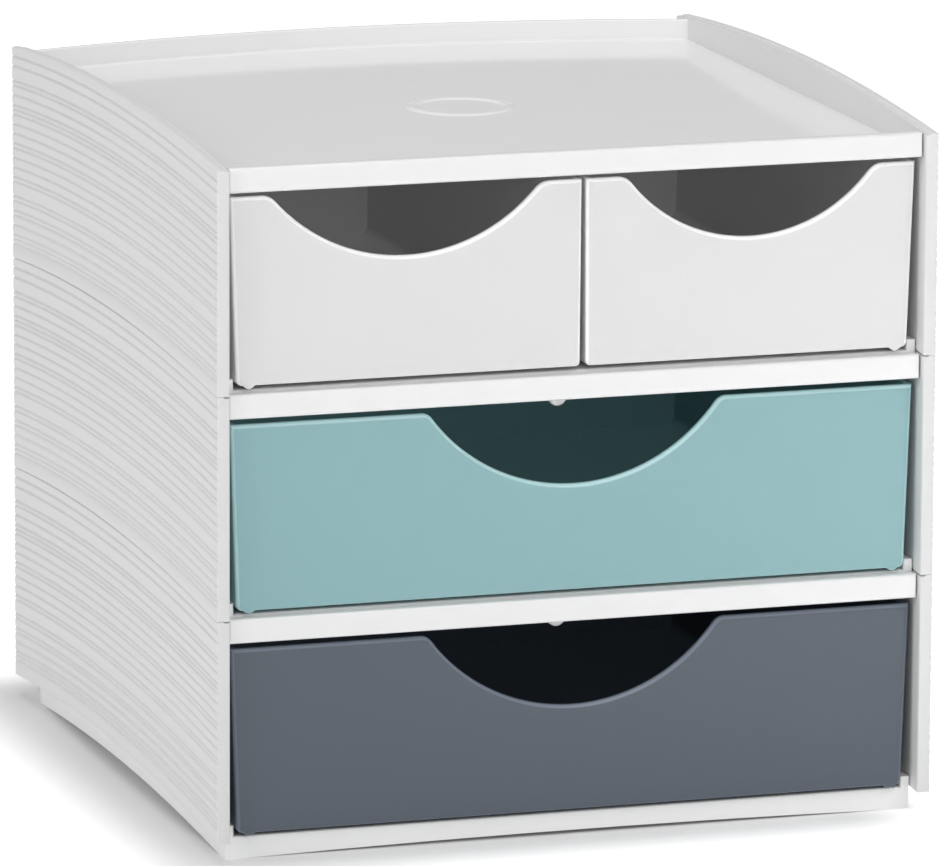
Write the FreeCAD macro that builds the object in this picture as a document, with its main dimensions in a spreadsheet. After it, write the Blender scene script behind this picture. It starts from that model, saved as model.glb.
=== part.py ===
# Desktop mini drawers: three stacked modules with ribbed, arched side panels
#
# Origin at the middle of the footprint, on the surface that the unit stands on.
# X runs to the right and Y to the back, seen from the drawers' side, and Z runs up.
# Each piece is drawn in its module's own frame, whose zero height is the foot of the
# side panels at their front and rear corners, and is then lifted to its place.

import FreeCAD, Part
import math
import os

import Sketcher

Vector = FreeCAD.Vector

MODULES = ["bottom", "middle", "top"]

# Heights of the strata on a side panel, from its foot up, as shares of the panel's height
STRATA_SHARES = [5, 4, 4, 4, 4, 5, 5, 5, 5, 3]

# How nearly an edge follows an axis before it counts as parallel to it
PARALLEL_SHARE = 0.99

# Driving dimensions in millimetres
SIZES = {
    "whole unit": {
        "overall_width": 190.0,
        "overall_depth": 199.8,
        "module_pitch": 57.1,
        "cut_overrun": 2.0,
        "edge_tolerance": 0.02,
    },
    "side panel": {
        "panel_thickness": 3.4,
        "panel_depth": 194.0,
        "panel_seam_gap": 0.1,
        "panel_rear_radius": 1.2,
        "panel_edge_bevel": 0.5,
        "arch_rise": 4.2,
        "groove_width": 1.0,
        "groove_depth": 0.5,
        "lowest_groove_depth": 0.25,
    },
    "deck": {
        "deck_thickness": 1.4,
        "rail_setback": 1.7,
        "rail_thickness": 3.2,
        "rail_end_clearance": 0.4,
        "rail_edge_radius": 0.6,
        "lip_thickness": 1.8,
        "lip_bow": 13.5,
        "lip_edge_bevel": 0.4,
        "ring_diameter": 27.0,
        "ring_width": 2.4,
        "ring_height": 0.4,
    },
    "drawer stop": {
        "stop_width": 5.0,
        "stop_drop": 4.5,
        "stop_thickness": 2.0,
        "stop_setback": 18.0,
    },
    "base": {
        "base_drop": 5.4,
        "base_floor_rise": 0.5,
        "base_floor_thickness": 1.4,
        "base_wall": 1.8,
        "base_foot_length": 5.0,
        "base_side_arch": 2.8,
        "base_front_arch": 1.0,
        "base_edge_bevel": 0.5,
        "riser_height": 2.6,
        "riser_thickness": 1.4,
        "riser_root_radius": 2.0,
    },
    "nesting of one module in the next": {
        "nest_clearance": 0.3,
        "rail_nest_clearance": 0.7,
    },
    "back wall": {
        "back_thickness": 1.8,
    },
    "all drawers": {
        "drawer_setback": 4.0,
        "drawer_side_clearance": 1.3,
        "drawer_rear_clearance": 1.0,
        "drawer_side_draft": 1.6,
        "drawer_wall": 1.8,
        "drawer_front_wall": 2.0,
        "drawer_floor": 1.8,
        "drawer_corner_radius": 1.6,
        "cavity_corner_radius": 2.0,
        "drawer_rim_bevel": 0.6,
        "runner_width": 2.8,
        "runner_edge_radius": 0.7,
        "runner_inset": 2.4,
        "runner_clearance": 0.2,
    },
    "full-width drawers": {
        "full_runner_height": 0.75,
        "full_top_clearance": 1.4,
        "full_cutout_width": 77.0,
        "full_cutout_depth": 20.3,
        "full_shoulder_radius": 3.5,
    },
    "half-width drawers": {
        "split_offset": 2.0,
        "split_gap": 1.0,
        "split_draft": 0.2,
        "split_corner_radius": 0.6,
        "half_runner_height": 0.95,
        "half_top_clearance": 0.6,
        "left_cutout_width": 70.9,
        "right_cutout_width": 66.1,
        "half_cutout_depth": 17.35,
        "half_shoulder_radius": 5.0,
    },
    "centre guide": {
        "guide_width": 5.4,
        "guide_height": 0.9,
        "guide_edge_bevel": 0.3,
        "guide_setback": 10.0,
    },
}

# Sizes that follow from the driving ones, in the order in which they build on each other
DERIVED = [
    ("front", "-sizes.overall_depth / 2"),
    ("inner_half_width", "sizes.overall_width / 2 - sizes.panel_thickness"),
    ("panel_half_depth", "sizes.panel_depth / 2"),
    ("panel_middle", "front + panel_half_depth"),
    ("arch_radius", "(panel_half_depth ^ 2 + sizes.arch_rise ^ 2) / (2 * sizes.arch_rise)"),
    ("arch_centre", "sizes.arch_rise - arch_radius"),
    ("panel_top", "sizes.module_pitch - sizes.panel_seam_gap"),
    ("panel_height", "sqrt((panel_top - arch_centre) ^ 2 + panel_half_depth ^ 2) - arch_radius"),
    ("strip_half_angle", "asin((panel_half_depth + sizes.cut_overrun) / arch_radius)"),
    ("strip_end", "(arch_radius + panel_height) * sin(strip_half_angle) - panel_half_depth"),
    ("deck_floor", "sizes.module_pitch - sizes.base_drop"),
    ("deck_underside", "deck_floor - sizes.deck_thickness"),
    ("rail_front", "front + sizes.rail_setback"),
    ("rail_rear", "rail_front + sizes.rail_thickness"),
    ("bow_radius", "(inner_half_width ^ 2 + sizes.lip_bow ^ 2) / (2 * sizes.lip_bow)"),
    ("lip_centre", "sizes.overall_depth / 2 - bow_radius"),
    ("lip_inner_centre", "lip_centre - sizes.lip_thickness"),
    ("base_half_width", "inner_half_width - sizes.nest_clearance"),
    ("base_front", "rail_rear + sizes.rail_nest_clearance"),
    ("base_rear_centre", "lip_inner_centre - sizes.nest_clearance"),
    ("base_rear_corner", "base_rear_centre + sqrt(bow_radius ^ 2 - base_half_width ^ 2)"),
    ("base_underside", "sizes.base_floor_rise - sizes.base_floor_thickness"),
    ("back_inner_centre", "base_rear_centre - sizes.back_thickness"),
    ("back_corner", "back_inner_centre + sqrt(bow_radius ^ 2 - inner_half_width ^ 2)"),
    ("riser_inner", "base_half_width - sizes.riser_thickness"),
    ("drawer_front", "front + sizes.drawer_setback"),
    ("drawer_rear", "back_corner - sizes.drawer_rear_clearance"),
    ("drawer_half_width", "inner_half_width - sizes.drawer_side_clearance"),
    ("drawer_foot", "sizes.base_floor_rise + sizes.runner_clearance"),
]

document = FreeCAD.newDocument("mini_drawers")


# Sheets

def make_sizes_sheet():
    """Write the driving dimensions, one row each, under their group's heading."""
    sheet = document.addObject("Spreadsheet::Sheet", "sizes")
    row = 1
    for group, rows in SIZES.items():
        sheet.set(f"A{row}", group)
        row += 1
        for alias, size in rows.items():
            sheet.set(f"A{row}", alias.replace("_", " "))
            sheet.set(f"B{row}", str(size))
            sheet.setAlias(f"B{row}", alias)
            row += 1
    document.recompute()
    return sheet


def make_derived_sheet():
    """Write the sizes that follow from the driving ones as formulas."""
    sheet = document.addObject("Spreadsheet::Sheet", "derived")
    for row, (alias, formula) in enumerate(DERIVED, start=1):
        sheet.set(f"A{row}", alias.replace("_", " "))
        sheet.set(f"B{row}", f"={formula}")
        sheet.setAlias(f"B{row}", alias)
        document.recompute()
    return sheet


sizes = make_sizes_sheet()
derived = make_derived_sheet()


def number(expression):
    """The value of an expression on the two sheets, in millimetres or degrees."""
    return float(derived.evalExpression(expression))


# Sketches

def new_sketch(body, name, role, offset="0", rise="0"):
    """A sketch on one of the body's own planes, offset along its normal, its origin raised."""
    sketch = body.newObject("Sketcher::SketchObject", f"{body.Name}_{name}")
    plane = next(item for item in body.Origin.OriginFeatures if item.Role == role)
    sketch.AttachmentSupport = [(plane, "")]
    sketch.MapMode = "FlatFace"
    if offset != "0":
        sketch.setExpression("AttachmentOffset.Base.z", offset)
    if rise != "0":
        sketch.setExpression("AttachmentOffset.Base.y", rise)
    return sketch


def level_sketch(body, name, height):
    """A sketch that lies level at a height."""
    return new_sketch(body, name, "XY_Plane", offset=height)


def upright_sketch(body, name, depth, rise="0"):
    """A sketch that stands across the unit at a depth: its normal points to the front."""
    return new_sketch(body, name, "XZ_Plane", offset=f"-({depth})", rise=rise)


def side_sketch(body, name):
    """A sketch that stands along the unit's middle plane."""
    return new_sketch(body, name, "YZ_Plane")


def bind(sketch, kind, geometry, point, expression):
    """Hold one coordinate of a point at an expression's value, measured from the origin."""
    if expression == "0":
        axis = -2 if kind == "DistanceX" else -1
        sketch.addConstraint(Sketcher.Constraint("PointOnObject", geometry, point, axis))
        return
    index = sketch.addConstraint(
        Sketcher.Constraint(kind, -1, 1, geometry, point, number(expression)))
    sketch.setExpression(f"Constraints[{index}]", expression)


def bind_radius(sketch, geometry, expression):
    """Hold a radius at an expression's value."""
    index = sketch.addConstraint(Sketcher.Constraint("Radius", geometry, number(expression)))
    sketch.setExpression(f"Constraints[{index}]", expression)


def turned(items):
    """The same list, begun at its second item, so that each item meets the next."""
    first, *others = items
    return [*others, first]


def arc_height(arc, x):
    """Second coordinate of an arc at a given first coordinate."""
    centre_x, centre_y, radius, side = arc
    reach = math.sqrt(number(radius) ** 2 - (x - number(centre_x)) ** 2)
    return number(centre_y) + side * reach


def outline(sketch, corners, arcs=None):
    """Draw and bind one closed outline.

    corners holds pairs of expressions. A corner whose second item is None lies on the
    arc beside it. arcs maps a corner's number to the arc that leaves it: the two
    expressions of its centre, its radius, and 1 for a crown or -1 for a bowl.
    """
    arcs = arcs or {}
    points = []
    arc = None
    for place, (x, y) in enumerate(corners):
        arc = arcs.get(place, arc)
        height = arc_height(arc, number(x)) if y is None else number(y)
        points.append(Vector(number(x), height, 0))
    edges = []
    for place, (start, end) in enumerate(zip(points, turned(points))):
        if place not in arcs:
            edges.append((sketch.addGeometry(Part.LineSegment(start, end)), 1, 2))
            continue
        centre_x, centre_y, radius, side = arcs[place]
        centre = Vector(number(centre_x), number(centre_y), 0)
        circle = Part.Circle(centre, Vector(0, 0, 1), number(radius))
        leftward = (end.x < start.x) == (side > 0)
        first, last = (start, end) if leftward else (end, start)
        angles = [math.atan2(point.y - centre.y, point.x - centre.x) for point in (first, last)]
        arc = sketch.addGeometry(Part.ArcOfCircle(circle, *angles))
        edges.append((arc, 1, 2) if leftward else (arc, 2, 1))
    for (geometry, _, end), (following, start, _) in zip(edges, turned(edges)):
        sketch.addConstraint(Sketcher.Constraint("Coincident", geometry, end, following, start))
    for place, (x, y) in enumerate(corners):
        geometry, start, _ = edges[place]
        bind(sketch, "DistanceX", geometry, start, x)
        if y is not None:
            bind(sketch, "DistanceY", geometry, start, y)
    for place, (centre_x, centre_y, radius, _) in arcs.items():
        geometry = edges[place][0]
        bind(sketch, "DistanceY", geometry, 3, centre_y)
        if corners[place][1] is None:
            bind(sketch, "DistanceX", geometry, 3, centre_x)
            bind_radius(sketch, geometry, radius)


def rectangle(sketch, left, right, low, high):
    """Draw and bind a rectangle."""
    outline(sketch, [(left, low), (right, low), (right, high), (left, high)])


def rear_bow(centre):
    """The arc, in plan, that every bowed rear edge follows, with its centre's depth."""
    return ("0", centre, "derived.bow_radius", 1)


def bowed_plate(sketch, half_width, front, centre):
    """A plan outline with a straight front, straight sides and a bowed rear edge."""
    corners = [(f"-({half_width})", front), (half_width, front),
               (half_width, None), (f"-({half_width})", None)]
    outline(sketch, corners, {2: rear_bow(centre)})


def bowed_strip(sketch, half_width, inner_centre, outer_centre):
    """A plan outline of a bowed wall: two like arcs, one behind the other."""
    corners = [(f"-({half_width})", None), (half_width, None),
               (half_width, None), (f"-({half_width})", None)]
    outline(sketch, corners, {0: rear_bow(inner_centre), 2: rear_bow(outer_centre)})


def shallow_arch(sketch, start, end, level, rise, overrun):
    """A flat arch that springs from a level and is open on the side away from its crown."""
    half = f"(({end}) - ({start})) / 2"
    radius = f"(({half}) ^ 2 + ({rise}) ^ 2) / (2 * ({rise}))"
    middle = f"(({start}) + ({end})) / 2"
    centre = f"({level}) + ({rise}) - ({radius})"
    outline(sketch, [(start, f"({level}) - ({overrun})"), (start, level),
                     (end, level), (end, f"({level}) - ({overrun})")],
            {1: (middle, centre, radius, 1)})


# Features

def feature(body, kind, name, sketch=None, **settings):
    """Add a feature to a body. Text settings are expressions, the others plain values."""
    item = body.newObject(f"PartDesign::{kind}", f"{body.Name}_{name}")
    if sketch is not None:
        item.Profile = sketch
        sketch.Visibility = False
    for key, setting in settings.items():
        if isinstance(setting, str) and key != "Type":
            item.setExpression(key, setting)
        else:
            setattr(item, key, setting)
    document.recompute()
    return item


def edge_names(shape, test):
    """Names of the edges whose middle and direction pass a test."""
    names = []
    for place, edge in enumerate(shape.Edges, start=1):
        middle = edge.valueAt((edge.FirstParameter + edge.LastParameter) / 2)
        run = edge.valueAt(edge.LastParameter) - edge.valueAt(edge.FirstParameter)
        if test(middle, run):
            names.append(f"Edge{place}")
    return names


def dress_edges(body, kind, size_name, name, size, test):
    """Fillet or chamfer the edges of a body's last feature that pass a test."""
    base = body.Tip
    names = edge_names(base.Shape, test)
    if not names:
        raise ValueError(f"{body.Label}: no edge found for {name}")
    item = body.newObject(f"PartDesign::{kind}", f"{body.Name}_{name}")
    item.Base = (base, names)
    item.setExpression(size_name, size)
    document.recompute()


def round_edges(body, name, radius, test):
    """Fillet the edges of a body's last feature that pass a test."""
    dress_edges(body, "Fillet", "Radius", name, radius, test)


def bevel_edges(body, name, width, test):
    """Chamfer the edges of a body's last feature that pass a test."""
    dress_edges(body, "Chamfer", "Size", name, width, test)


def near(value, expression):
    """Whether a coordinate lies at an expression's value."""
    return abs(value - number(expression)) < number("sizes.edge_tolerance")


def along_x(run):
    """Whether an edge runs across the unit."""
    return run.Length > 0 and abs(run.x) > PARALLEL_SHARE * run.Length


def along_y(run):
    """Whether an edge runs from front to back."""
    return run.Length > 0 and abs(run.y) > PARALLEL_SHARE * run.Length


def new_body(name, level):
    """A body for one piece, lifted to its module's place."""
    body = document.addObject("PartDesign::Body", name)
    body.Label = name
    body.setExpression("Placement.Base.z", f"sizes.base_drop + {level} * sizes.module_pitch")
    return body


# Side panels: a strip turned about a far axis, so that foot, top edge and grooves all arch

def side_panel(name, level, sign):
    body = new_body(name, level)
    inner = f"{sign}derived.inner_half_width"
    outer = f"{sign}sizes.overall_width / 2"
    sweep = "2 * derived.strip_half_angle"
    blank = upright_sketch(body, "section", "derived.panel_middle", "derived.arch_centre")
    rectangle(blank, inner, outer, "derived.arch_radius",
              "derived.arch_radius + derived.panel_height")
    feature(body, "Revolution", "strip", blank, ReferenceAxis=(blank, ["H_Axis"]),
            Midplane=True, Angle=sweep)
    trim_panel(body)
    dress_panel(body)
    cut_strata(body, sign, sweep)


def trim_panel(body):
    """Cut the turned strip off upright at its front and rear."""
    waste = side_sketch(body, "waste")
    low = "-sizes.cut_overrun"
    high = "sizes.module_pitch + sizes.arch_rise + sizes.cut_overrun"
    front = "derived.front"
    rear = "derived.front + sizes.panel_depth"
    reach = "(derived.strip_end + sizes.cut_overrun)"
    rectangle(waste, f"{front} - {reach}", front, low, high)
    rectangle(waste, rear, f"{rear} + {reach}", low, high)
    feature(body, "Pocket", "trim", waste, Type="ThroughAll", Midplane=True)


def dress_panel(body):
    """Round the rear top corner and bevel the two top edges."""
    rear = "derived.front + sizes.panel_depth"
    round_edges(body, "rear_corner", "sizes.panel_rear_radius",
                lambda middle, run: along_x(run) and near(middle.y, rear)
                and near(middle.z, "derived.panel_top"))
    crown = "sizes.arch_rise + derived.panel_height"
    bevel_edges(body, "top_edges", "sizes.panel_edge_bevel",
                lambda middle, run: along_y(run) and near(middle.z, crown))


def cut_strata(body, sign, sweep):
    """Cut a V groove between each two strata, deeper towards the top."""
    cutters = upright_sketch(body, "cutters", "derived.panel_middle", "derived.arch_centre")
    total = sum(STRATA_SHARES)
    reached = 0
    for share in STRATA_SHARES[:-1]:
        reached += share
        place = f"derived.arch_radius + derived.panel_height * {reached} / {total}"
        growth = f"(sizes.groove_depth - sizes.lowest_groove_depth) * {reached} / {total}"
        depth = f"(sizes.lowest_groove_depth + {growth})"
        face = "sizes.overall_width / 2"
        outline(cutters, [
            (f"{sign}({face} - {depth})", place),
            (f"{sign}({face} + {depth})", f"{place} + sizes.groove_width"),
            (f"{sign}({face} + {depth})", f"{place} - sizes.groove_width"),
        ])
    feature(body, "Groove", "strata", cutters, ReferenceAxis=(cutters, ["H_Axis"]),
            Midplane=True, Angle=sweep)


# Decks: a plate with a raised front rail, a bowed rear lip, a ring and the drawer's stop

def deck(name, level, has_stop):
    body = new_body(name, level)
    plate = level_sketch(body, "plate", "derived.deck_underside")
    bowed_plate(plate, "derived.inner_half_width", "derived.rail_rear", "derived.lip_centre")
    feature(body, "Pad", "plate_pad", plate, Length="sizes.deck_thickness")

    rail = level_sketch(body, "rail", "derived.deck_underside")
    rail_half = "(derived.inner_half_width - sizes.rail_end_clearance)"
    rectangle(rail, f"-{rail_half}", rail_half, "derived.rail_front", "derived.rail_rear")
    feature(body, "Pad", "rail_pad", rail, Length="derived.panel_top - derived.deck_underside")

    lip = level_sketch(body, "lip", "derived.deck_underside")
    bowed_strip(lip, "derived.inner_half_width", "derived.lip_inner_centre", "derived.lip_centre")
    feature(body, "Pad", "lip_pad", lip, Length="derived.panel_top - derived.deck_underside")

    round_edges(body, "rail_edges", "sizes.rail_edge_radius",
                lambda middle, run: along_x(run) and near(middle.y, "derived.rail_front"))
    bevel_edges(body, "lip_edges", "sizes.lip_edge_bevel",
                lambda middle, run: near(middle.z, "derived.panel_top")
                and middle.y > 0 and abs(run.x) > number("derived.inner_half_width"))
    if has_stop:
        drawer_stop(body)
    else:
        deck_ring(body)


def deck_ring(body):
    """A low plain ring in the middle of the deck."""
    ring = level_sketch(body, "ring", "derived.deck_floor")
    for radius in ("sizes.ring_diameter / 2", "sizes.ring_diameter / 2 - sizes.ring_width"):
        circle = ring.addGeometry(Part.Circle(Vector(0, 0, 0), Vector(0, 0, 1), number(radius)))
        ring.addConstraint(Sketcher.Constraint("Coincident", circle, 3, -1, 1))
        bind_radius(ring, circle, radius)
    feature(body, "Pad", "ring_pad", ring, Length="sizes.ring_height")


def drawer_stop(body):
    """A tongue with a round end that hangs behind the rail and catches the drawer's back."""
    tongue = upright_sketch(body, "stop", "derived.front + sizes.stop_setback")
    half = "sizes.stop_width / 2"
    root = "derived.deck_underside"
    spring = f"{root} - sizes.stop_drop + {half}"
    outline(tongue, [(f"-{half}", root), (f"-{half}", spring), (half, spring), (half, root)],
            {1: ("0", spring, half, -1)})
    feature(body, "Pad", "stop_pad", tongue, Length="sizes.stop_thickness", Reversed=True)


# Bases: a shallow tray turned over, with risers along its sides that guide the drawers

def base(name, level):
    body = new_body(name, level)
    block = level_sketch(body, "block", "-sizes.base_drop")
    bowed_plate(block, "derived.base_half_width", "derived.base_front",
                "derived.base_rear_centre")
    feature(body, "Pad", "block_pad", block, Length="sizes.base_drop + sizes.base_floor_rise")

    hollow = level_sketch(body, "hollow", "-sizes.base_drop")
    bowed_plate(hollow, "(derived.base_half_width - sizes.base_wall)",
                "derived.base_front + sizes.base_wall",
                "derived.base_rear_centre - sizes.base_wall")
    feature(body, "Pocket", "hollow_cut", hollow, Reversed=True,
            Length="sizes.base_drop + derived.base_underside")

    side_arch = side_sketch(body, "side_arch")
    shallow_arch(side_arch, "derived.base_front + sizes.base_foot_length",
                 "derived.base_rear_corner - sizes.base_foot_length",
                 "-sizes.base_drop", "sizes.base_side_arch", "sizes.cut_overrun")
    feature(body, "Pocket", "side_arch_cut", side_arch, Type="ThroughAll", Midplane=True)

    front_arch = upright_sketch(body, "front_arch", "derived.base_front")
    reach = "(derived.base_half_width - sizes.base_foot_length)"
    shallow_arch(front_arch, f"-{reach}", reach, "-sizes.base_drop", "sizes.base_front_arch",
                 "sizes.cut_overrun")
    feature(body, "Pocket", "front_arch_cut", front_arch, Length="sizes.base_wall")

    risers = level_sketch(body, "risers", "sizes.base_floor_rise")
    rear = "derived.drawer_rear"
    rectangle(risers, "derived.riser_inner", "derived.base_half_width",
              "derived.base_front", rear)
    rectangle(risers, "-derived.base_half_width", "-derived.riser_inner",
              "derived.base_front", rear)
    feature(body, "Pad", "riser_pad", risers, Length="sizes.riser_height")

    round_edges(body, "riser_roots", "sizes.riser_root_radius",
                lambda middle, run: along_y(run) and near(middle.z, "sizes.base_floor_rise")
                and near(abs(middle.x), "derived.riser_inner"))
    bevel_edges(body, "front_edge", "sizes.base_edge_bevel",
                lambda middle, run: along_x(run) and near(middle.y, "derived.base_front")
                and near(middle.z, "sizes.base_floor_rise"))


# Back walls: bowed like the lip, from the base's floor up to the deck

def back_wall(name, level):
    body = new_body(name, level)
    strip = level_sketch(body, "strip", "sizes.base_floor_rise")
    bowed_strip(strip, "derived.inner_half_width", "derived.back_inner_centre",
                "derived.base_rear_centre")
    feature(body, "Pad", "wall_pad", strip,
            Length="derived.deck_underside - sizes.base_floor_rise")


# Centre guide: a low rib between the inner runners of the two half-width drawers

def centre_guide(name, level):
    body = new_body(name, level)
    section = upright_sketch(body, "section", "derived.base_front + sizes.guide_setback")
    floor = "sizes.base_floor_rise"
    top = "sizes.base_floor_rise + sizes.guide_height"
    rectangle(section, "sizes.split_offset - sizes.guide_width / 2",
              "sizes.split_offset + sizes.guide_width / 2", floor, top)
    feature(body, "Pad", "rib", section, Reversed=True,
            Length="derived.drawer_rear - derived.base_front - sizes.guide_setback")
    bevel_edges(body, "rib_edges", "sizes.guide_edge_bevel",
                lambda middle, run: along_y(run) and near(middle.z, top))


# Drawers: one-piece trays with drafted sides, a scooped finger cut-out and two runners

def drawer(name, level, left, right, drafts, corners, runner_height, top_clearance, cutout):
    """left and right are the upper edges; drafts draw them in towards the drawer's foot.

    corners are the radii of the two lower corners, the left one first.
    """
    body = new_body(name, level)
    foot = f"(derived.drawer_foot + {runner_height})"
    top = f"(derived.deck_underside - {top_clearance})"
    height = f"({top} - {foot})"
    left_draft, right_draft = drafts

    def drafted(edge, draft, inset, drop):
        return f"{edge} + {inset} + {draft} * ({drop}) / {height}"

    front = upright_sketch(body, "front", "derived.drawer_front")
    outline(front, [
        (left, top),
        (drafted(left, left_draft, "0", height), foot),
        (drafted(right, f"-{right_draft}", "0", height), foot),
        (right, top),
    ])
    feature(body, "Pad", "block", front, Reversed=True,
            Length="derived.drawer_rear - derived.drawer_front")
    halfway = (number(left) + number(right)) / 2
    for side, radius in zip(("left", "right"), corners):
        round_edges(body, f"{side}_foot_corner", radius,
                    lambda middle, run: along_y(run) and near(middle.z, foot)
                    and (middle.x < halfway) == (side == "left"))

    inner_front = "derived.drawer_front + sizes.drawer_front_wall"
    cavity = upright_sketch(body, "cavity", inner_front)
    wall = "sizes.drawer_wall"
    inner_foot = f"{foot} + sizes.drawer_floor"
    inner_drop = f"{height} - sizes.drawer_floor"
    mouth = f"{top} + sizes.cut_overrun"
    outline(cavity, [
        (drafted(left, left_draft, wall, "-sizes.cut_overrun"), mouth),
        (drafted(left, left_draft, wall, inner_drop), inner_foot),
        (drafted(right, f"-{right_draft}", f"(-{wall})", inner_drop), inner_foot),
        (drafted(right, f"-{right_draft}", f"(-{wall})", "-sizes.cut_overrun"), mouth),
    ])
    feature(body, "Pocket", "cavity_cut", cavity,
            Length=f"derived.drawer_rear - {wall} - ({inner_front})")
    round_edges(body, "cavity_corners", "sizes.cavity_corner_radius",
                lambda middle, run: along_y(run) and near(middle.z, inner_foot))

    cut_finger_scoop(body, left, right, top, cutout)
    bevel_edges(body, "front_rim", "sizes.drawer_rim_bevel",
                lambda middle, run: near(middle.y, "derived.drawer_front"))
    add_runners(body, left, right, drafts, foot, runner_height)


def cut_finger_scoop(body, left, right, top, cutout):
    """Scoop the middle of the front wall down from its top edge, with rounded shoulders."""
    width, depth, shoulder_radius = cutout
    middle = f"(({left}) + ({right})) / 2"
    start = f"{middle} - {width} / 2"
    end = f"{middle} + {width} / 2"
    radius = f"(({width} / 2) ^ 2 + {depth} ^ 2) / (2 * {depth})"
    centre = f"{top} - {depth} + {radius}"
    scoop = upright_sketch(body, "scoop", "derived.drawer_front")
    mouth = f"{top} + sizes.cut_overrun"
    outline(scoop, [(start, mouth), (start, top), (end, top), (end, mouth)],
            {1: (middle, centre, radius, -1)})
    feature(body, "Pocket", "scoop_cut", scoop, Length="sizes.drawer_front_wall")
    round_edges(body, "shoulders", shoulder_radius,
                lambda point, run: along_y(run) and near(point.z, top)
                and (near(point.x, start) or near(point.x, end)))


def add_runners(body, left, right, drafts, foot, runner_height):
    """Two low runners under the floor, beside the rounded corners."""
    left_draft, right_draft = drafts
    low = "derived.drawer_foot"
    high = f"{foot} + sizes.drawer_floor / 2"
    runners = upright_sketch(body, "runners", "derived.drawer_front + sizes.drawer_rim_bevel")
    inset = "sizes.runner_inset"
    far = "(sizes.runner_inset + sizes.runner_width)"
    rectangle(runners, f"{left} + {left_draft} + {inset}", f"{left} + {left_draft} + {far}",
              low, high)
    rectangle(runners, f"{right} - {right_draft} - {far}", f"{right} - {right_draft} - {inset}",
              low, high)
    feature(body, "Pad", "runner_pad", runners, Reversed=True,
            Length="derived.drawer_rear - derived.drawer_front - sizes.drawer_rim_bevel")
    round_edges(body, "runner_edges", "sizes.runner_edge_radius",
                lambda middle, run: along_y(run) and near(middle.z, low))


# The whole unit

def build_casing():
    """The pieces that every module's casing has."""
    for level, module in enumerate(MODULES):
        side_panel(f"{module}_left_side_panel", level, "-")
        side_panel(f"{module}_right_side_panel", level, "")
        deck(f"{module}_deck", level, has_stop=module != "top")
        base(f"{module}_base", level)
        back_wall(f"{module}_back_wall", level)
    centre_guide("top_centre_guide", MODULES.index("top"))


def build_drawers():
    """Two full-width drawers below, and two half-width drawers side by side above."""
    side = "derived.drawer_half_width"
    draft = "sizes.drawer_side_draft"
    split_draft = "sizes.split_draft"
    corner = "sizes.drawer_corner_radius"
    split_corner = "sizes.split_corner_radius"
    full_cutout = ("sizes.full_cutout_width", "sizes.full_cutout_depth",
                   "sizes.full_shoulder_radius")
    half_cutout = ("sizes.half_cutout_depth", "sizes.half_shoulder_radius")
    for module in ("bottom", "middle"):
        drawer(f"{module}_drawer", MODULES.index(module), f"-{side}", side, (draft, draft),
               (corner, corner), "sizes.full_runner_height", "sizes.full_top_clearance",
               full_cutout)
    drawer("top_left_drawer", MODULES.index("top"), f"-{side}",
           "(sizes.split_offset - sizes.split_gap / 2)", (draft, split_draft),
           (corner, split_corner), "sizes.half_runner_height", "sizes.half_top_clearance",
           ("sizes.left_cutout_width", *half_cutout))
    drawer("top_right_drawer", MODULES.index("top"),
           "(sizes.split_offset + sizes.split_gap / 2)", side, (split_draft, draft),
           (split_corner, corner), "sizes.half_runner_height", "sizes.half_top_clearance",
           ("sizes.right_cutout_width", *half_cutout))


def check_and_write():
    """Check every object, then write each piece to its own file."""
    document.recompute()
    for item in document.Objects:
        if "Invalid" in item.State or "Error" in item.State:
            raise RuntimeError(f"{item.Name} did not compute: {item.State}")
    bodies = [item for item in document.Objects if item.TypeId == "PartDesign::Body"]
    for body in bodies:
        if body.Shape.isNull() or not body.Shape.isValid() or len(body.Shape.Solids) != 1:
            raise RuntimeError(f"{body.Label} is not one valid solid")
    os.makedirs("parts", exist_ok=True)
    for body in bodies:
        body.Shape.exportStep(f"parts/{body.Label}.step")
        print(f"{body.Label}: {body.Shape.Volume / 1000:.1f} cm3")


build_casing()
build_drawers()
check_and_write()
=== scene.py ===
from collections import namedtuple
import math

import bmesh
import bpy
from mathutils import Matrix, Vector


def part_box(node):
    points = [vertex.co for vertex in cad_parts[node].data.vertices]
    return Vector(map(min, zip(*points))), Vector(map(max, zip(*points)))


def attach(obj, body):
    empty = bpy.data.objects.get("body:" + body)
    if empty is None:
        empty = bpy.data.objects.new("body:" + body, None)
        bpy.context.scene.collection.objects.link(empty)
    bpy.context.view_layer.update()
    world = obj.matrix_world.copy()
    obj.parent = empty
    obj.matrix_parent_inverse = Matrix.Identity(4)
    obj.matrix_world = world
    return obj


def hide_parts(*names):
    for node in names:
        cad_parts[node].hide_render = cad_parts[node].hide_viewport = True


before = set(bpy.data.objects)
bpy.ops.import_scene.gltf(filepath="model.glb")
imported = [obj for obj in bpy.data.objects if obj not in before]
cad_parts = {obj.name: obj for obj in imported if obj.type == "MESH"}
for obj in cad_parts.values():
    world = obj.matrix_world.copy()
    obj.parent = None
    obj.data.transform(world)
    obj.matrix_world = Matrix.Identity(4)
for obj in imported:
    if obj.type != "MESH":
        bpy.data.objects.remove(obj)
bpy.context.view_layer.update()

MM = 0.001
HALF_TURN = math.pi
QUARTER_TURN = math.pi / 2

MODULES = ["bottom", "middle", "top"]
CASING = "casing"

# The camera that took the photograph, in the part's frame
CAMERA_PLACE = (-0.734703, -2.293589, 0.591102)
CAMERA_AZIMUTH = math.radians(-17.8463)
CAMERA_ELEVATION = math.radians(-11.8703)
CAMERA_ROLL = math.radians(-0.2586)
CAMERA_LENS = 358.907
CAMERA_SENSOR = 36.0
CAMERA_FAR_END = 50

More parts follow.
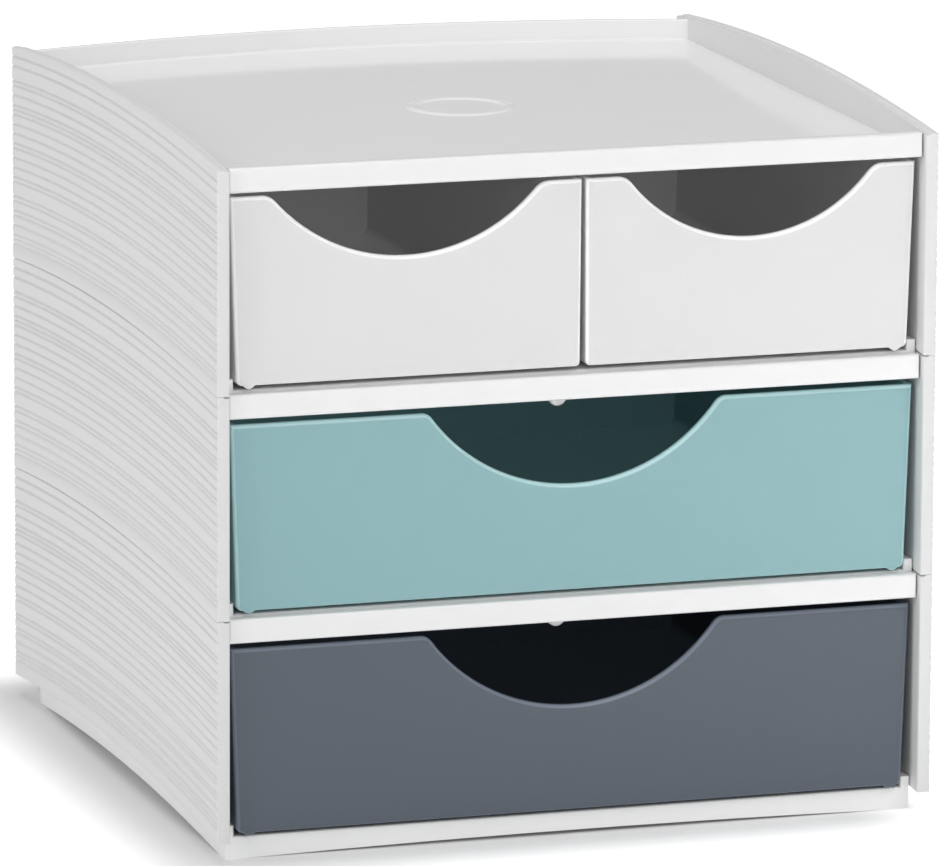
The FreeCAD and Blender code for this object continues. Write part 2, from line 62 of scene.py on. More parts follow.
# Light: each soft box has a place, an aim, a width, a height, a power in watts and a spread
WORLD_STRENGTH = 0.43
OBJECT_MIDDLE = (0, 0, 0.09)
SOFT_BOXES = {
    "front_softbox": ((0.1, -1.4, 1.1), OBJECT_MIDDLE, 1.4, 1.4, 6.4, HALF_TURN),
    "low_softbox": ((0, -1.9, 0.35), OBJECT_MIDDLE, 1.6, 0.5, 2.6, HALF_TURN),
    "left_softbox": ((-1.5, -0.5, 0.75), OBJECT_MIDDLE, 0.9, 0.9, 8.3, HALF_TURN),
    "top_softbox": ((0, 0, 1.8), OBJECT_MIDDLE, 1.2, 1.2, 8.4, HALF_TURN),
    "floor_softbox": ((0.42, -0.55, 0.6), (0.38, -0.5, 0), 0.4, 0.4, 2.1, math.radians(70)),
}
DRAWER_FILL = ((0, -1.0, 1.4), OBJECT_MIDDLE, 0.5, 0.5, 2.5, HALF_TURN)

# Floor: its glow for the viewer rises from a weak one at the footprint to FAR at the reach beside
# it; the weak glow near the footprint is a painted shadow round the object's foot
FLOOR_HALF_WIDTH = 8.0
FLOOR_WHITE = (0.79, 0.79, 0.79)
FLOOR_ROUGHNESS = 0.9
FLOOR_SPECULAR = 0.1
FLOOR_GLOW_FAR = 0.6
FLOOR_GLOW_IN_PAINTED_SHADOW = 0.04
PAINTED_SHADOW_REACH = 32 * MM
FOOTPRINT_MIDDLE = (-12 * MM, 0, 0)
FOOTPRINT_HALF_SIZE = (84 * MM, 95 * MM, 0)

# Colours as they would be under plain light of strength one
GREY_WHITE = (0.74, 0.74, 0.74)
BRIGHT_WHITE = (0.87, 0.87, 0.87)
BASE_WHITE = (0.92, 0.92, 0.92)
DRAWER_WHITE = (0.7, 0.7, 0.7)
TEAL = (0.235, 0.42, 0.44)
SLATE = (0.069, 0.088, 0.113)
# Painted highlights: lighter colours for the drawers' rounded rims, standing in for the light
# they catch
DRAWER_WHITE_RIM_HIGHLIGHT = (0.97, 0.97, 0.97)
TEAL_RIM_HIGHLIGHT = (0.46, 0.68, 0.7)
SLATE_RIM_HIGHLIGHT = (0.17, 0.2, 0.25)

# Moulded plastic: a mottle in tone and gloss, a fine grain, and where the painted rim highlight
# sets in
PANEL_ROUGHNESS = 0.45
DECK_ROUGHNESS = 0.1
BASE_ROUGHNESS = 0.35
DRAWER_ROUGHNESS = 0.32
PLASTIC_SPECULAR = 0.5
DECK_SPECULAR = 0.3
MOTTLE = 0.02
MOTTLE_SCALE = 45
MOTTLE_DETAIL = 3
GLOSS_SPREAD = 0.08
PLASTIC_GRAIN = 0.05
DECK_GRAIN = 0.006
GRAIN_SCALE = 2600
GRAIN_DETAIL = 2
GRAIN_HEIGHT = 0.1 * MM
RIM_HIGHLIGHT_START = 0.03
RIM_HIGHLIGHT_END = 0.18

# All meshes: RIM_STEPS and EDGE_STEPS are the steps of a quarter turn round an edge
SHARP_ANGLE = math.radians(38)
RIM_STEPS = 5
EDGE_STEPS = 4
SUPPORT_INSET = 0.04 * MM

# Side panels: STRATA_SHARES are the heights of the strata, from the foot up
ARCH_RISE = 4.2 * MM
STRATA_SHARES = [3, 1, 1, 2, 2, 1, 2, 1, 3, 1, 2, 2, 2, 1, 2, 2, 2, 1, 1, 2, 2, 1, 3, 2, 2]
GROOVE_WIDTH = 0.9 * MM
GROOVE_PLACES = (0.5, 0.2, 0, -0.2, -0.5)
GROOVE_POWER = 1.5
TOP_GROOVE_DEPTH = 0.4 * MM
FOOT_GROOVE_DEPTH = 0.26 * MM
PANEL_EDGE_RADIUS = 0.45 * MM
PANEL_END_RADIUS = 0.35 * MM
PANEL_END_STEPS = 4
PANEL_REAR_RADIUS = 1.2 * MM
PANEL_REAR_STEPS = 6
PANEL_COLUMNS = 44
PANEL_MERGE = 0.002 * MM
LINER_THICKNESS = 1.3 * MM
LINER_DROP = 0.35 * MM

# Decks
TRAY_DEPTH = 5.3 * MM
DECK_THICKNESS = 1.4 * MM
DECK_COLUMNS = 60
DECK_ROW_SHARES = (0.98, 0.9, 0.75, 0.5, 0.25)
RAIL_DEPTH = 3.2 * MM
RAIL_OVERLAP = 0.4 * MM
RAIL_END_GAP = 0.4 * MM
RAIL_FOOT_RISE = 0.5 * MM
RAIL_RADIUS = 0.55 * MM
RAIL_REAR_RADIUS = 0.3 * MM
LIP_THICKNESS = 1.8 * MM
LIP_BOW = 13.5 * MM
LIP_RADIUS = 0.4 * MM
LIP_ROOT_RADIUS = 0.5 * MM
RING_RADIUS = 12.4 * MM
RING_WIDTH = 4.2 * MM
RING_HEIGHT = 0.42 * MM
RING_SINK = 0.02 * MM
RING_ROOT = 0.3 * MM
RING_TURNS = 96
RING_STEPS = 8
STOP_SETBACK = 16.3 * MM
STOP_WIDTH = 5.0 * MM
STOP_DROP = 4.5 * MM
STOP_THICKNESS = 2.0 * MM
STOP_ROOT = 0.3 * MM
STOP_RIM_RADIUS = 0.5 * MM
STOP_STEPS = 16

# Bases
RISER_INNER = 89.9 * MM
RISER_WIDENING = 1.0 * MM
RISER_ROOT_RADIUS = 2.0 * MM
RISER_FRONT_CHAMFER = 0.5 * MM
BASE_SLACK = 0.02 * MM
BASE_MERGE = 0.01 * MM

# Drawers
DRAWER_WALL = 1.8 * MM
DRAWER_FRONT_WALL = 2.0 * MM
CAVITY_CORNER_RADIUS = 3.0 * MM
CORNER_STEPS = 8
RIM_RADIUS = 1.3 * MM
FOOT_RIM_RADIUS = 0.4 * MM
FINE_RIM_RADIUS = 0.6 * MM
TOP_EDGE_RADIUS = 0.5 * MM
SPLIT_TOP_DROP = 0.4 * MM
RUNNER_WIDTH = 3.2 * MM
RUNNER_MIDDLE = 3.3 * MM
RUNNER_STEPS = 12
RUNNER_POWER = 0.5
FULL_RUNNER_HEIGHT = 0.75 * MM
HALF_RUNNER_HEIGHT = 0.95 * MM
SHOULDER_STEPS = 8
SCOOP_STEPS = 40

# A drawer's side that faces the casing, and one that faces the drawer beside it
Side = namedtuple("Side", "draft corner_radius rim_radius has_runner")
OUTER_SIDE = Side(1.6 * MM, 1.6 * MM, RIM_RADIUS, True)
SPLIT_SIDE = Side(0.2 * MM, 1.2 * MM, 1.05 * MM, False)

# The finger scoops in the drawers' fronts
Scoop = namedtuple("Scoop", "width depth shoulder_radius")
FULL_SCOOP = Scoop(77.0 * MM, 20.3 * MM, 3.5 * MM)
LEFT_SCOOP = Scoop(70.6 * MM, 16.95 * MM, 5.0 * MM)
RIGHT_SCOOP = Scoop(65.8 * MM, 16.95 * MM, 5.0 * MM)


# Meshes

def finish_mesh(name, bm, material, body, node):
    """Turn a bmesh into a smooth-shaded piece that rides on a body and stands for a node."""
    bmesh.ops.recalc_face_normals(bm, faces=bm.faces)
    mesh = bpy.data.meshes.new(name)
    bm.to_mesh(mesh)
    bm.free()
    mesh.shade_smooth()
    mesh.set_sharp_from_angle(angle=SHARP_ANGLE)
    piece = bpy.data.objects.new(name, mesh)
    bpy.context.scene.collection.objects.link(piece)
    piece.data.materials.append(material)
    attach(piece, body)
    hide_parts(node)
    return piece


def join(bm, loop, following):
    """A band of quads from one closed loop of points to the next."""
    for place in range(len(loop)):
        after = (place + 1) % len(loop)
        bm.faces.new((loop[place], loop[after], following[after], following[place]))


def skin(bm, loops):
    """A closed shell through a row of loops, with a cap at each end."""
    for loop, following in zip(loops, loops[1:]):
        join(bm, loop, following)
    bm.faces.new(loops[0])
    bm.faces.new(loops[-1])


def fillet(before, corner, after, radius, steps):
    """Points of the arc that rounds one corner of a path in a plane."""
    towards = [(point - corner).normalized() for point in (before, after)]
    half = towards[0].angle(towards[1]) / 2
    centre = corner + (towards[0] + towards[1]).normalized() * (radius / math.sin(half))
    reach = radius / math.tan(half)
    start, end = [corner + direction * reach - centre for direction in towards]
    sweep = start.angle(end)
    points = []
    for step in range(steps + 1):
        share = step / steps
        points.append(centre + (start * math.sin((1 - share) * sweep)
                                + end * math.sin(share * sweep)) / math.sin(sweep))
    return points


def inward(outline):
    """How far each point of a closed outline moves for an inset of one, whatever its turn."""
    count = len(outline)
    area = sum(outline[place].cross(outline[(place + 1) % count]) for place in range(count))
    side = 1 if area > 0 else -1
    normals = []
    for place in range(count):
        run = (outline[(place + 1) % count] - outline[place]).normalized()
        normals.append(Vector((-run.y, run.x)) * side)
    shifts = []
    for place in range(count):
        before, after = normals[place - 1], normals[place]
        shifts.append((before + after) / (1 + before.dot(after)))
    return shifts


def plate(bm, outline, front, rear, front_rims, rear_rims):
    """A closed plate that stands across Y, whose front and rear edges are rounded.

    Each point of the outline has its own rounding at the front and at the rear. A support loop
    just inside each rounding keeps the faces flat in their shading.
    """
    shifts = inward(outline)
    loops = []
    for face, rims, way in ((front, front_rims, 1), (rear, rear_rims, -1)):
        side = []
        for step in range(-1, RIM_STEPS + 1):
            angle = max(step, 0) / RIM_STEPS * QUARTER_TURN
            support = SUPPORT_INSET if step < 0 else 0
            loop = []
            for point, shift, rim in zip(outline, shifts, rims):
                place = point + shift * (rim * (1 - math.sin(angle)) + support)
                depth = rim * (1 - math.cos(angle))
                loop.append(bm.verts.new((place.x, face + way * depth, place.y)))
            side.append(loop)
        loops += side if way > 0 else reversed(side)
    skin(bm, loops)


# Side panels: one cross-section carried along the arch

def panel_section(thickness, height):
    """Across the panel: distance from its inner face and height above its foot.

    The inner face belongs to a liner that stops a little below the panel's top.
    """
    radius = PANEL_EDGE_RADIUS
    step_height = height - LINER_DROP
    points = [(0, 0), (0, step_height), (LINER_THICKNESS, step_height),
              (LINER_THICKNESS, height - radius)]
    for step in range(1, RIM_STEPS + 1):
        angle = step / RIM_STEPS * QUARTER_TURN
        points.append((LINER_THICKNESS + radius - radius * math.cos(angle),
                       height - radius + radius * math.sin(angle)))
    for step in range(RIM_STEPS + 1):
        angle = step / RIM_STEPS * QUARTER_TURN
        points.append((thickness - radius + radius * math.sin(angle),
                       height - radius + radius * math.cos(angle)))
    total = sum(STRATA_SHARES)
    reached = total
    for share in reversed(STRATA_SHARES[1:]):
        reached -= share
        level = reached / total
        depth = FOOT_GROOVE_DEPTH + (TOP_GROOVE_DEPTH - FOOT_GROOVE_DEPTH) * level
        for across in GROOVE_PLACES:
            points.append((thickness - depth * math.cos(across * math.pi) ** GROOVE_POWER,
                           height * level + across * GROOVE_WIDTH))
    points.append((thickness, 0))
    return points


def rounding_columns(radius, steps):
    """How far from a rounded end the columns stand that follow its curve."""
    return [radius * (1 - math.cos(QUARTER_TURN / steps * step)) for step in range(steps)]


def rounding_depth(radius, distance):
    """How far a rounding has cut in at a distance into it, seen from where it starts."""
    return radius - math.sqrt(radius ** 2 - distance ** 2)


def side_panel(node, material):
    low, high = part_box(node)
    sign = 1 if low.x > 0 else -1
    inner = min(abs(low.x), abs(high.x))
    thickness = high.x - low.x
    half_depth = (high.y - low.y) / 2
    middle = (high.y + low.y) / 2
    arch_radius = (half_depth ** 2 + ARCH_RISE ** 2) / (2 * ARCH_RISE)
    height = high.z - low.z - ARCH_RISE
    centre = low.z + ARCH_RISE - arch_radius
    section = panel_section(thickness, height)
    ends = rounding_columns(PANEL_END_RADIUS, PANEL_END_STEPS)
    corner = rounding_columns(PANEL_REAR_RADIUS, PANEL_REAR_STEPS)
    first, last = low.y + PANEL_REAR_RADIUS, high.y - PANEL_REAR_RADIUS
    inside = [first + (last - first) * step / PANEL_COLUMNS for step in range(PANEL_COLUMNS + 1)]
    columns = sorted([low.y + distance for distance in ends] + inside
                     + [high.y - distance for distance in set(ends + corner)])
    corner_height = math.sqrt((arch_radius + height) ** 2 - half_depth ** 2)
    bm = bmesh.new()
    loops = []
    for y in columns:
        end_distance = min(y - low.y, high.y - y, PANEL_END_RADIUS)
        inset = rounding_depth(PANEL_END_RADIUS, PANEL_END_RADIUS - end_distance)
        into_corner = min(max(y - last, 0), PANEL_REAR_RADIUS)
        limit = high.z
        if into_corner > 0:
            limit = centre + corner_height - rounding_depth(PANEL_REAR_RADIUS, into_corner)
        loop = []
        for across, rise in section:
            across = min(max(across, inset), thickness - inset)
            z = centre + math.sqrt((arch_radius + rise) ** 2 - (y - middle) ** 2)
            loop.append(bm.verts.new((sign * (inner + across), y, min(z, limit))))
        loops.append(loop)
    skin(bm, loops)
    bmesh.ops.remove_doubles(bm, verts=bm.verts, dist=PANEL_MERGE)
    bmesh.ops.dissolve_degenerate(bm, edges=bm.edges, dist=PANEL_MERGE / 2)
    return finish_mesh(f"{node}_ribbed", bm, material, CASING, node)


# Drawers: one tray each, with a scooped front, rounded rims and runners

def runner(middle, foot, height):
    """A smooth swelling of the drawer's foot."""
    points = []
    for step in range(RUNNER_STEPS + 1):
        across = 2 * step / RUNNER_STEPS - 1
        swell = (0.5 + 0.5 * math.cos(across * math.pi)) ** RUNNER_POWER
        points.append(Vector((middle + across * RUNNER_WIDTH / 2, foot - height * swell)))
    return points


def drawer_section(left, right, top, foot, left_side, right_side, runner_height):
    """The U from the upper left corner down, along the foot and up to the upper right one."""
    corners = [Vector((left, top)), Vector((left + left_side.draft, foot)),
               Vector((right - right_side.draft, foot)), Vector((right, top))]
    points = [corners[0]]
    points += fillet(*corners[:3], left_side.corner_radius, CORNER_STEPS)
    if left_side.has_runner:
        points += runner(corners[1].x + RUNNER_MIDDLE, foot, runner_height)
    if right_side.has_runner:
        points += runner(corners[2].x - RUNNER_MIDDLE, foot, runner_height)
    points += fillet(*corners[1:], right_side.corner_radius, CORNER_STEPS)
    points.append(corners[3])
    return points


def scooped_edge(left, right, top, scoop):
    """The front's upper edge from right to left, between the corners, with the finger scoop."""
    middle = (left + right) / 2
    radius = ((scoop.width / 2) ** 2 + scoop.depth ** 2) / (2 * scoop.depth)
    centre = Vector((middle, top - scoop.depth + radius))
    rise = centre.y - (top - scoop.shoulder_radius)
    reach = math.sqrt((radius + scoop.shoulder_radius) ** 2 - rise ** 2)
    turn = math.atan2(reach, rise)
    shoulder = Vector((middle + reach, top - scoop.shoulder_radius))
    shoulder_points = []
    for step in range(SHOULDER_STEPS + 1):
        angle = turn * step / SHOULDER_STEPS
        shoulder_points.append(
            shoulder + scoop.shoulder_radius * Vector((-math.sin(angle), math.cos(angle))))
    points = [Vector((right - DRAWER_WALL, top))] + shoulder_points
    for step in range(1, SCOOP_STEPS):
        angle = turn * (1 - 2 * step / SCOOP_STEPS)
        points.append(centre + radius * Vector((math.sin(angle), -math.cos(angle))))
    points += [Vector((2 * middle - point.x, point.y)) for point in reversed(shoulder_points)]
    points.append(Vector((left + DRAWER_WALL, top)))
    return points


def top_rounding(corner, way):
    """Points that round an upper corner, from the side onto the top; way points inwards."""
    below, along = corner - Vector((0, 1)), corner + Vector((way, 0))
    return fillet(below, corner, along, TOP_EDGE_RADIUS, EDGE_STEPS)


def front_rims(section, left_rim, right_rim):
    """The rounding at each point of the section: wide at the sides, fine along the foot."""
    fade = [step / CORNER_STEPS for step in range(CORNER_STEPS + 1)]
    rims = [left_rim]
    rims += [left_rim + (FOOT_RIM_RADIUS - left_rim) * share for share in fade]
    rims += [FOOT_RIM_RADIUS] * (len(section) - 2 - 2 * len(fade))
    rims += [FOOT_RIM_RADIUS + (right_rim - FOOT_RIM_RADIUS) * share for share in fade]
    rims.append(right_rim)
    return rims


def drawer(node, material, left_side, right_side, runner_height, scoop, top_drop=0):
    low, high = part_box(node)
    left, right, top = low.x, high.x, high.z - top_drop
    foot = low.z + runner_height
    behind_front = low.y + DRAWER_FRONT_WALL
    before_rear = high.y - DRAWER_WALL
    cavity_sides = [side._replace(corner_radius=CAVITY_CORNER_RADIUS, has_runner=False)
                    for side in (left_side, right_side)]
    outer = drawer_section(left, right, top, foot, left_side, right_side, runner_height)
    inner = drawer_section(left + DRAWER_WALL, right - DRAWER_WALL, top, foot + DRAWER_WALL,
                           *cavity_sides, 0)
    edge = scooped_edge(left, right, top, scoop)
    bm = bmesh.new()

    rims = front_rims(outer, left_side.rim_radius, right_side.rim_radius)
    plate(bm, outer + edge, low.y, behind_front, rims + [RIM_RADIUS] * len(edge),
          [0] * len(outer) + [FINE_RIM_RADIUS] * len(edge))

    walls = outer[1:-1] + top_rounding(outer[-1], -1) + top_rounding(inner[-1], 1)[::-1]
    walls += inner[1:-1][::-1] + top_rounding(inner[0], -1) + top_rounding(outer[0], 1)[::-1]
    skin(bm, [[bm.verts.new((point.x, y, point.y)) for point in walls]
              for y in (behind_front, before_rear)])

    plate(bm, outer, before_rear, high.y, [0] * len(outer), [FOOT_RIM_RADIUS] * len(outer))
    return finish_mesh(f"{node}_tray", bm, material, f"{node}_body", node)


# Decks: a sheet with a bowed lip, a front rail, a low ring or a drawer stop

def deck_profile(front, rear, top):
    """One loop through the sheet and its lip, from the front of the underside onwards."""
    floor = top - TRAY_DEPTH
    underside = floor - DECK_THICKNESS
    inner = rear - LIP_THICKNESS
    corners = [Vector((front, underside)), Vector((rear, underside)), Vector((rear, top)),
               Vector((inner, top)), Vector((inner, floor)), Vector((front, floor))]
    points = corners[:2]
    points += fillet(*corners[1:4], LIP_RADIUS, EDGE_STEPS)
    points += fillet(*corners[2:5], LIP_RADIUS, EDGE_STEPS)
    points += fillet(*corners[3:6], LIP_ROOT_RADIUS, EDGE_STEPS)
    points += [corners[5].lerp(corners[4], share) for share in DECK_ROW_SHARES]
    points.append(corners[5])
    return points


def low_ring(bm, level):
    """A soft ring that swells out of a level surface."""
    loops = []
    for turn in range(RING_TURNS):
        angle = 2 * math.pi * turn / RING_TURNS
        loop = []
        for step in range(RING_STEPS + 1):
            across = 2 * step / RING_STEPS - 1
            reach = RING_RADIUS + across * RING_WIDTH / 2
            rise = RING_HEIGHT * (0.5 + 0.5 * math.cos(across * math.pi)) - RING_SINK
            loop.append(bm.verts.new((reach * math.cos(angle), reach * math.sin(angle),
                                      level + rise)))
        loop.append(bm.verts.new((RING_RADIUS * math.cos(angle), RING_RADIUS * math.sin(angle),
                                  level - RING_ROOT)))
        loops.append(loop)
    for loop, following in zip(loops, loops[1:] + loops[:1]):
        join(bm, loop, following)


def tongue(bm, root, tip, front, rear):
    """A flat tongue with a round lower end."""
    half_width = STOP_WIDTH / 2
    spring = tip + half_width
    outline = [Vector((-half_width, root))]
    for step in range(STOP_STEPS + 1):
        angle = math.pi * step / STOP_STEPS
        outline.append(Vector((-half_width * math.cos(angle),
                               spring - half_width * math.sin(angle))))
    outline.append(Vector((half_width, root)))
    rims = [STOP_RIM_RADIUS] * len(outline)
    plate(bm, outline, front, rear, rims, rims)


def deck(node, material, has_stop):
    low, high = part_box(node)
    half_width, front, rear, top = high.x, low.y, high.y, high.z
    bow_radius = (half_width ** 2 + LIP_BOW ** 2) / (2 * LIP_BOW)
    rail_rear = front + RAIL_DEPTH
    underside = top - TRAY_DEPTH - DECK_THICKNESS
    bm = bmesh.new()
    loops = []
    for column in range(DECK_COLUMNS + 1):
        x = half_width * (2 * column / DECK_COLUMNS - 1)
        bow = bow_radius - math.sqrt(bow_radius ** 2 - x ** 2)
        profile = deck_profile(rail_rear - RAIL_OVERLAP, rear - bow, top)
        loops.append([bm.verts.new((x, point.x, point.y)) for point in profile])
    skin(bm, loops)
    rail_half = half_width - RAIL_END_GAP
    rail_foot = underside + RAIL_FOOT_RISE
    rail = [Vector((-rail_half, rail_foot)), Vector((rail_half, rail_foot)),
            Vector((rail_half, top)), Vector((-rail_half, top))]
    plate(bm, rail, front, rail_rear, [RAIL_RADIUS] * len(rail), [RAIL_REAR_RADIUS] * len(rail))
    if has_stop:
        stop_front = front + STOP_SETBACK
        tongue(bm, underside + STOP_ROOT, underside - STOP_DROP,
               stop_front, stop_front + STOP_THICKNESS)
    else:
        low_ring(bm, top - TRAY_DEPTH)
    return finish_mesh(f"{node}_moulding", bm, material, CASING, node)


# Bases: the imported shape, with wider risers that meet the floor in a crisp corner

def base(node, material):
    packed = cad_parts[node]
    bm = bmesh.new()
    bm.from_mesh(packed.data)
    floor_end = RISER_INNER - 2 * RISER_ROOT_RADIUS
    floor = max(vert.co.z for vert in bm.verts if abs(vert.co.x) < floor_end)
    for vert in bm.verts:
        beside = abs(vert.co.x) - (RISER_INNER - RISER_ROOT_RADIUS)
        below = floor + RISER_ROOT_RADIUS - vert.co.z
        for chamfer in (0, RISER_FRONT_CHAMFER):
            off_root = abs(math.hypot(beside, below) - RISER_ROOT_RADIUS - chamfer)
            if min(beside, below) > BASE_SLACK and off_root < BASE_SLACK:
                vert.co.x = math.copysign(RISER_INNER + chamfer, vert.co.x)
                vert.co.z = floor - chamfer
            at_riser = abs(abs(vert.co.x) - RISER_INNER - chamfer) < BASE_SLACK
            if at_riser and vert.co.z > floor - chamfer - BASE_SLACK:
                vert.co.x -= math.copysign(RISER_WIDENING, vert.co.x)
                break
    bmesh.ops.remove_doubles(bm, verts=bm.verts, dist=BASE_MERGE)
    piece = finish_mesh(f"{node}_moulding", bm, material, CASING, node)
    even = piece.modifiers.new("even_shading", "WEIGHTED_NORMAL")
    even.keep_sharp = True
    return piece


# Materials

class Tree:
    """The nodes of a new material. Each input takes a plain value or another node's output."""

    def __init__(self, name):
        self.material = bpy.data.materials.new(name)
        self.material.use_nodes = True
        self.nodes = self.material.node_tree.nodes
        self.links = self.material.node_tree.links

    def feed(self, node, values):
        for name, value in values.items():
            if isinstance(value, bpy.types.NodeSocket):
                self.links.new(value, node.inputs[name])
            else:
                node.inputs[name].default_value = value
        return node

    def shader(self, values):
        return self.feed(self.nodes["Principled BSDF"], values)

    def noise(self, place, scale, detail):
        node = self.nodes.new("ShaderNodeTexNoise")
        self.feed(node, {"Vector": place, "Scale": scale, "Detail": detail})
        return node.outputs["Fac"]

    def calculate(self, operation, first, second):
        node = self.nodes.new("ShaderNodeMath")
        node.operation = operation
        return self.feed(node, {0: first, 1: second}).outputs["Value"]

    def calculate_vector(self, operation, first, second):
        node = self.nodes.new("ShaderNodeVectorMath")
        node.operation = operation
        return self.feed(node, {0: first, 1: second}).outputs["Vector"]

    def ramp(self, value, start=0, end=1, low=0, high=1, curve="LINEAR"):
        node = self.nodes.new("ShaderNodeMapRange")
        node.interpolation_type = curve
        self.feed(node, {"Value": value, "From Min": start, "From Max": end,
                         "To Min": low, "To Max": high})
        return node.outputs["Result"]

    def mix(self, share, first, second):
        node = self.nodes.new("ShaderNodeMix")
        node.data_type = "RGBA"
        return self.feed(node, {"Factor": share, "A": first, "B": second}).outputs["Result"]


def moulded_plastic(name, colour, roughness, rim=None, grain=PLASTIC_GRAIN,
                    specular=PLASTIC_SPECULAR):
    """Moulded plastic: a fine grain in its relief, and a slight unevenness in tone and gloss.

    The rim is a painted highlight: a lighter colour on the edges that turn away from the front.
    """
    tree = Tree(name)
    place = tree.nodes.new("ShaderNodeTexCoord")
    cloud = tree.noise(place.outputs["Object"], MOTTLE_SCALE, MOTTLE_DETAIL)
    darker, lighter = [(*[channel * (1 + step) for channel in colour], 1)
                       for step in (-MOTTLE, MOTTLE)]
    surface = tree.mix(cloud, darker, lighter)
    # Painted highlight: the rim colour is mixed in where the normal slants between the front and
    # a side
    if rim:
        facing = tree.nodes.new("ShaderNodeSeparateXYZ")
        tree.links.new(place.outputs["Normal"], facing.inputs[0])
        front = tree.calculate("MULTIPLY", facing.outputs["Y"], facing.outputs["Y"])
        slanted = tree.calculate("MULTIPLY", front, tree.calculate("SUBTRACT", 1, front))
        edge = tree.ramp(slanted, RIM_HIGHLIGHT_START, RIM_HIGHLIGHT_END)
        surface = tree.mix(edge, surface, (*rim, 1))

    speckle = tree.noise(place.outputs["Object"], GRAIN_SCALE, GRAIN_DETAIL)
    relief = tree.nodes.new("ShaderNodeBump")
    tree.feed(relief, {"Height": speckle, "Strength": grain, "Distance": GRAIN_HEIGHT})
    gloss = tree.ramp(cloud, low=roughness * (1 - GLOSS_SPREAD),
                      high=roughness * (1 + GLOSS_SPREAD))
    tree.shader({"Base Color": surface, "Roughness": gloss, "Specular IOR Level": specular,
                 "Normal": relief.outputs["Normal"]})
    return tree.material


def floor_plastic():
    """Pale floor, lit like any surface, lifted to white for the viewer; less so at the foot, a
    painted shadow.
    """
    tree = Tree("floor")
    lit = tree.shader({"Base Color": (*FLOOR_WHITE, 1), "Roughness": FLOOR_ROUGHNESS,
                       "Specular IOR Level": FLOOR_SPECULAR})
    path = tree.nodes.new("ShaderNodeLightPath").outputs
    seen = tree.calculate("MAXIMUM", path["Is Camera Ray"], path["Is Glossy Ray"])
    seen = tree.calculate("MAXIMUM", seen, path["Is Transmission Ray"])

    place = tree.nodes.new("ShaderNodeTexCoord").outputs["Object"]
    centred = tree.calculate_vector("SUBTRACT", place, FOOTPRINT_MIDDLE)
    across = tree.calculate_vector("ABSOLUTE", centred, (0, 0, 0))
    beside = tree.calculate_vector("SUBTRACT", across, FOOTPRINT_HALF_SIZE)
    outside = tree.calculate_vector("MAXIMUM", beside, (0, 0, 0))
    distance = tree.nodes.new("ShaderNodeVectorMath")
    distance.operation = "LENGTH"
    tree.links.new(outside, distance.inputs[0])
    # Painted shadow: the glow is weak at the footprint and rises to full beyond its reach
    glow_past_painted_shadow = tree.ramp(distance.outputs["Value"], 0, PAINTED_SHADOW_REACH,
                       FLOOR_GLOW_IN_PAINTED_SHADOW, FLOOR_GLOW_FAR, "SMOOTHSTEP")

    glow = tree.nodes.new("ShaderNodeEmission")
    tree.feed(glow, {"Strength": tree.calculate("MULTIPLY", seen, glow_past_painted_shadow)})
    both = tree.nodes.new("ShaderNodeAddShader")
    tree.feed(both, {0: lit.outputs[0], 1: glow.outputs[0]})
    tree.feed(tree.nodes["Material Output"], {"Surface": both.outputs[0]})
    return tree.material


# Stage, camera and light

def add_floor():
    mesh = bpy.data.meshes.new("floor")
    half = FLOOR_HALF_WIDTH
    corners = [(-half, -half, 0), (half, -half, 0), (half, half, 0), (-half, half, 0)]
    mesh.from_pydata(corners, [], [(0, 1, 2, 3)])
    mesh.materials.append(floor_plastic())
    plane = bpy.data.objects.new("floor", mesh)
    bpy.context.scene.collection.objects.link(plane)


def add_camera():
    camera = bpy.data.objects.new("camera", bpy.data.cameras.new("camera"))
    camera.data.lens = CAMERA_LENS
    camera.data.sensor_width = CAMERA_SENSOR
    camera.data.sensor_fit = "HORIZONTAL"
    camera.data.clip_end = CAMERA_FAR_END
    turn = (Matrix.Rotation(CAMERA_AZIMUTH, 4, "Z") @ Matrix.Rotation(CAMERA_ELEVATION, 4, "X")
            @ Matrix.Rotation(CAMERA_ROLL, 4, "Y") @ Matrix.Rotation(QUARTER_TURN, 4, "X"))
    camera.matrix_world = Matrix.Translation(CAMERA_PLACE) @ turn
    bpy.context.scene.collection.objects.link(camera)
    bpy.context.scene.camera = camera


def add_lamp(name, place, target, width, height, power, spread, only_on=None):
    """A soft box. One that lights only some pieces is a fill, and throws no shadow."""
    data = bpy.data.lights.new(name, "AREA")
    data.shape = "RECTANGLE"
    data.size = width
    data.size_y = height
    data.energy = power
    data.spread = spread
    data.use_shadow = only_on is None
    lamp = bpy.data.objects.new(name, data)
    lamp.location = place
    lamp.rotation_euler = (Vector(target) - Vector(place)).to_track_quat("-Z", "Y").to_euler()
    bpy.context.scene.collection.objects.link(lamp)
    if only_on is not None:
        lit = bpy.data.collections.new(f"{name}_lights")
        for piece in only_on:
            lit.objects.link(piece)
        lamp.light_linking.receiver_collection = lit


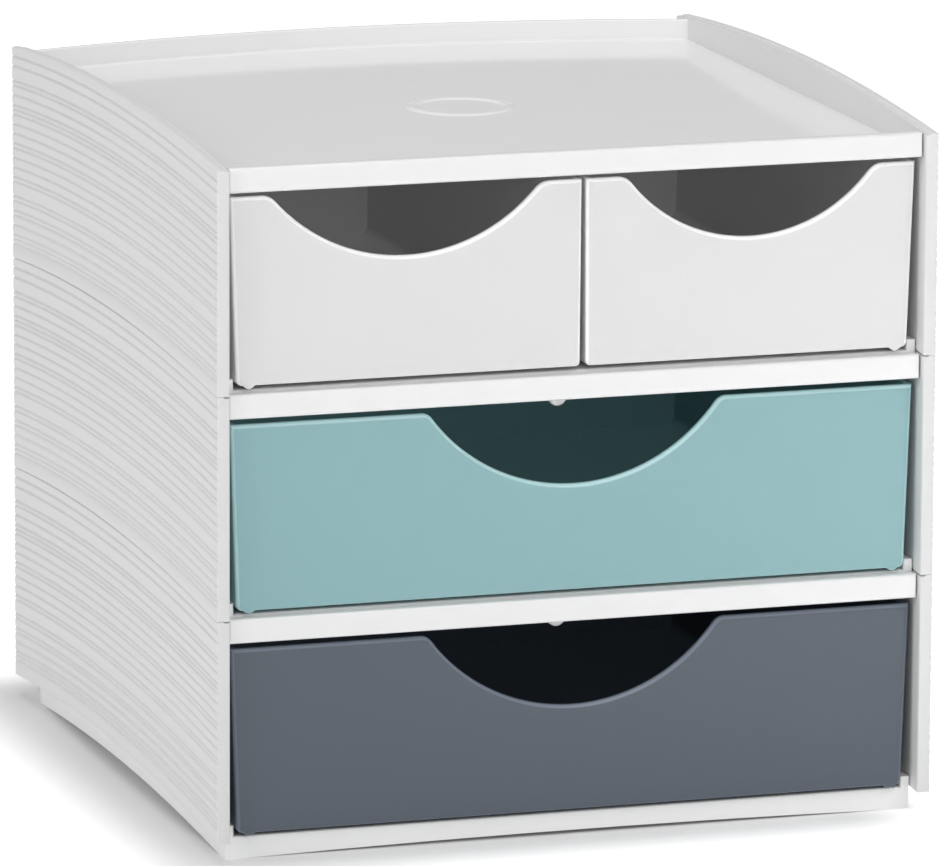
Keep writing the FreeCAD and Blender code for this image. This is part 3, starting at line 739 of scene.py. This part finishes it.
def add_world():
    world = bpy.data.worlds.new("world")
    world.use_nodes = True
    background = world.node_tree.nodes["Background"]
    background.inputs["Color"].default_value = (1, 1, 1, 1)
    background.inputs["Strength"].default_value = WORLD_STRENGTH
    bpy.context.scene.world = world


add_camera()
add_floor()
add_world()
for name, soft_box in SOFT_BOXES.items():
    add_lamp(name, *soft_box)

panel_plastic = moulded_plastic("panel_grey_white", GREY_WHITE, PANEL_ROUGHNESS)
deck_plastic = moulded_plastic("deck_white", BRIGHT_WHITE, DECK_ROUGHNESS,
                               grain=DECK_GRAIN, specular=DECK_SPECULAR)
base_plastic = moulded_plastic("base_white", BASE_WHITE, BASE_ROUGHNESS)
white_plastic = moulded_plastic("drawer_white", DRAWER_WHITE, DRAWER_ROUGHNESS, DRAWER_WHITE_RIM_HIGHLIGHT)
teal_plastic = moulded_plastic("teal", TEAL, DRAWER_ROUGHNESS, TEAL_RIM_HIGHLIGHT)
slate_plastic = moulded_plastic("slate", SLATE, DRAWER_ROUGHNESS, SLATE_RIM_HIGHLIGHT)

for module in MODULES:
    for side in ("left", "right"):
        side_panel(f"{module}_{side}_side_panel", panel_plastic)
    deck(f"{module}_deck", deck_plastic, has_stop=module != "top")
    base(f"{module}_base", base_plastic)
for name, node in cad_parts.items():
    if name.endswith(("_back_wall", "_guide")):
        node.data.materials.clear()
        node.data.materials.append(base_plastic)

trays = [
    drawer("bottom_drawer", slate_plastic, OUTER_SIDE, OUTER_SIDE,
           FULL_RUNNER_HEIGHT, FULL_SCOOP),
    drawer("middle_drawer", teal_plastic, OUTER_SIDE, OUTER_SIDE,
           FULL_RUNNER_HEIGHT, FULL_SCOOP),
    drawer("top_left_drawer", white_plastic, OUTER_SIDE, SPLIT_SIDE,
           HALF_RUNNER_HEIGHT, LEFT_SCOOP, SPLIT_TOP_DROP),
    drawer("top_right_drawer", white_plastic, SPLIT_SIDE, OUTER_SIDE,
           HALF_RUNNER_HEIGHT, RIGHT_SCOOP, SPLIT_TOP_DROP),
]
add_lamp("fill_into_drawers", *DRAWER_FILL, only_on=trays)

bpy.context.scene.view_settings.view_transform = "Standard"
